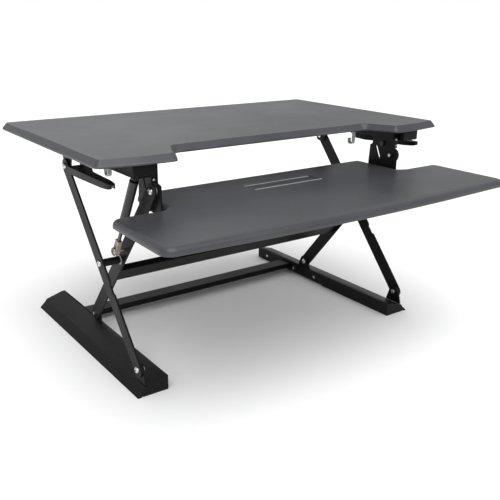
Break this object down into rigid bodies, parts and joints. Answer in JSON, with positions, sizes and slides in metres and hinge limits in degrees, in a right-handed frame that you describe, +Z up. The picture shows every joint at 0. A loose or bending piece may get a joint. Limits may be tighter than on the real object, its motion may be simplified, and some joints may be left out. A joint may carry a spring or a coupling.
{
  "type": "standing desk converter",
  "caption": "Desktop riser on a folding X-frame with gas springs: wide notched desktop, lower keyboard tray, squeeze levers that fold it down and feet joined by a crossbar.",
  "frame": {"origin": "on the surface the feet stand on, at the middle of the footprint's bounding box when raised", "axes": "+Z up, +X to the right of a user who faces it, +Y away from the user"},
  "size_m": [0.914, 0.807, 0.5],
  "materials": {
    "charcoal_laminate": "charcoal laminate on board, satin",
    "black_powder_coat": "black powder coat on steel",
    "zinc": "bright zinc plate",
    "black_nylon": "plain black nylon",
    "grey_plastic": "light grey moulded plastic",
    "black_rubber": "black foam rubber",
    "spring_steel": "plain steel"
  },
  "bodies": {
    "base": {"base_crossbar": "black_powder_coat", "foot_left": "black_powder_coat", "foot_right": "black_powder_coat", "front_pad_left": "black_rubber", "front_pad_right": "black_rubber", "rear_pad_left": "black_rubber", "rear_pad_right": "black_rubber", "front_ear_left": "black_powder_coat", "front_ear_right": "black_powder_coat", "lower_front_bolt_left": "zinc", "lower_front_bolt_right": "zinc"},
    "outer_arms": {"outer_arm_left": "black_powder_coat", "outer_arm_right": "black_powder_coat", "centre_bolt_left": "zinc", "centre_bolt_right": "zinc", "centre_spacer_left": "black_powder_coat", "centre_spacer_right": "black_powder_coat"},
    "inner_frame": {"inner_crossbar": "black_powder_coat", "inner_arm_left": "black_powder_coat", "inner_arm_right": "black_powder_coat", "gas_stud_left": "zinc", "gas_stud_right": "zinc"},
    "lower_sliders": {"lower_ear_left": "black_powder_coat", "lower_ear_right": "black_powder_coat", "lower_glide_left": "black_nylon", "lower_glide_right": "black_nylon", "lower_rear_bolt_left": "zinc", "lower_rear_bolt_right": "zinc"},
    "upper_sliders": {"upper_glide_left": "black_nylon", "upper_glide_right": "black_nylon", "upper_bracket_left": "black_powder_coat", "upper_bracket_right": "black_powder_coat", "lock_rack_left": "spring_steel", "lock_rack_right": "spring_steel", "upper_rear_bolt_left": "zinc", "upper_rear_bolt_right": "zinc"},
    "platform": {"desktop": "charcoal_laminate", "keyboard_tray": "charcoal_laminate", "rail_left": "black_powder_coat", "rail_right": "black_powder_coat", "rail_end_left": "black_powder_coat", "rail_end_right": "black_powder_coat", "hanger_left": "black_powder_coat", "hanger_right": "black_powder_coat", "upper_front_bolt_left": "zinc", "upper_front_bolt_right": "zinc", "gas_pin_left": "zinc", "gas_pin_right": "zinc", "cable_hook_left": "grey_plastic", "cable_hook_right": "grey_plastic"},
    "release_left": {"release_lever_left": "black_powder_coat", "pawl_shaft_left": "spring_steel"},
    "gas_cylinder_left_body": {"gas_cylinder_left": "black_powder_coat"},
    "gas_rod_left_body": {"gas_rod_left": "zinc", "gas_clevis_left": "zinc"},
    "release_right": {"release_lever_right": "black_powder_coat", "pawl_shaft_right": "spring_steel"},
    "gas_cylinder_right_body": {"gas_cylinder_right": "black_powder_coat"},
    "gas_rod_right_body": {"gas_rod_right": "zinc", "gas_clevis_right": "zinc"}
  },
  "joints": [
    {"name": "lift_fold", "type": "hinge", "parent": "base", "child": "outer_arms", "pos_m": [0, -0.139, 0.0506], "axis": [-1, 0, 0], "range_deg": [0, 44.8]},
    {"name": "centre_pivot", "type": "hinge", "parent": "outer_arms", "child": "inner_frame", "pos_m": [0, 0.02024, 0.23666], "axis": [-1, 0, 0], "range_deg": [-89.7, 0]},
    {"name": "lower_slider_pivot", "type": "hinge", "parent": "inner_frame", "child": "lower_sliders", "pos_m": [0, 0.17949, 0.0506], "axis": [-1, 0, 0], "range_deg": [0, 44.9]},
    {"name": "upper_slider_pivot", "type": "hinge", "parent": "outer_arms", "child": "upper_sliders", "pos_m": [0, 0.17949, 0.42271], "axis": [-1, 0, 0], "range_deg": [-44.9, 0]},
    {"name": "platform_pivot", "type": "hinge", "parent": "inner_frame", "child": "platform", "pos_m": [0, -0.139, 0.42271], "axis": [-1, 0, 0], "range_deg": [0, 44.9]},
    {"name": "release_left_squeeze", "type": "hinge", "parent": "platform", "child": "release_left", "pos_m": [-0.389, 0.0995, 0.475], "axis": [-1, 0, 0], "range_deg": [0, 7], "stiffness_Nm_per_rad": 4, "springref_deg": -17.19},
    {"name": "gas_spring_left_swing", "type": "hinge", "parent": "platform", "child": "gas_cylinder_left_body", "pos_m": [-0.355, -0.1115, 0.448], "axis": [1, 0, 0], "range_deg": [0, 45.8]},
    {"name": "gas_spring_left_slide", "type": "slide", "parent": "gas_cylinder_left_body", "child": "gas_rod_left_body", "axis": [0, 0.5045, -0.8634], "range_m": [-0.0282, 0]},
    {"name": "release_right_squeeze", "type": "hinge", "parent": "platform", "child": "release_right", "pos_m": [0.389, 0.0995, 0.475], "axis": [-1, 0, 0], "range_deg": [0, 7], "stiffness_Nm_per_rad": 4, "springref_deg": -17.19},
    {"name": "gas_spring_right_swing", "type": "hinge", "parent": "platform", "child": "gas_cylinder_right_body", "pos_m": [0.355, -0.1115, 0.448], "axis": [1, 0, 0], "range_deg": [0, 45.8]},
    {"name": "gas_spring_right_slide", "type": "slide", "parent": "gas_cylinder_right_body", "child": "gas_rod_right_body", "axis": [0, 0.5045, -0.8634], "range_m": [-0.0282, 0]}
  ],
  "couplings": [
    {"joint": "centre_pivot", "follows": "lift_fold", "ratio": -2},
    {"joint": "lower_slider_pivot", "follows": "lift_fold", "ratio": 1},
    {"joint": "upper_slider_pivot", "follows": "lift_fold", "ratio": -1},
    {"joint": "platform_pivot", "follows": "lift_fold", "ratio": 1},
    {"joint": "gas_spring_left_swing", "follows": "lift_fold", "ratio": 1.021},
    {"joint": "gas_spring_left_slide", "follows": "lift_fold", "m_per_rad": -0.036},
    {"joint": "gas_spring_right_swing", "follows": "lift_fold", "ratio": 1.021},
    {"joint": "gas_spring_right_slide", "follows": "lift_fold", "m_per_rad": -0.036}
  ]
}
